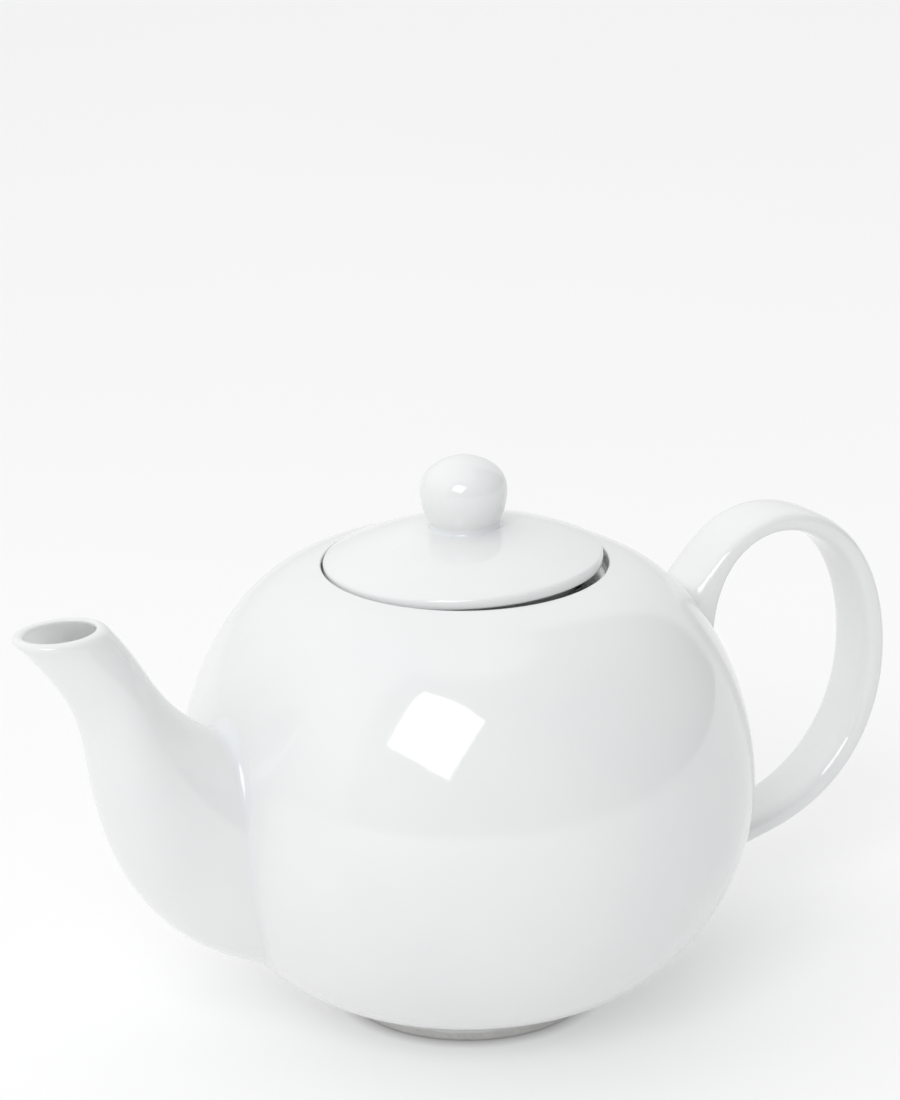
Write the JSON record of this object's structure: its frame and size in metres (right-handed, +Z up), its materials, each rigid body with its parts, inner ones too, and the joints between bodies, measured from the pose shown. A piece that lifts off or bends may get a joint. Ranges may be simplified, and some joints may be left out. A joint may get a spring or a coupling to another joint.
{
  "type": "teapot infuser",
  "caption": "Round porcelain teapot with a curved spout, a strap handle, a lift-off domed lid with a round knob, and a lift-out perforated steel basket.",
  "frame": {"origin": "on the pot's axis at the table, which is the middle of the bounding box's base to within 1.6 mm", "axes": "+Z up along the pot's axis, +X towards the handle, -X towards the spout"},
  "size_m": [0.2533, 0.15, 0.1469],
  "materials": {
    "glazed_porcelain": "gloss glaze",
    "unglazed_foot": "ground unglazed porcelain",
    "stainless_steel": "satin pressed sheet"
  },
  "bodies": {
    "pot": {"pot_body": "glazed_porcelain", "foot_ring": "unglazed_foot", "spout": "glazed_porcelain", "handle": "glazed_porcelain"},
    "infuser": {"infuser_rim": "stainless_steel", "infuser_wall": "stainless_steel", "infuser_base": "stainless_steel", "infuser_seam": "stainless_steel", "infuser_spot_welds": "stainless_steel"},
    "lid": {"lid_dome": "glazed_porcelain", "lid_skirt": "glazed_porcelain", "lid_knob": "glazed_porcelain"}
  },
  "joints": [
    {"name": "infuser_lift", "type": "slide", "parent": "pot", "child": "infuser", "axis": [0, 0, 1], "range_m": [0, 0.15]},
    {"name": "lid_lift", "type": "slide", "parent": "infuser", "child": "lid", "axis": [0, 0, 1], "range_m": [0, 0.1]}
  ]
}
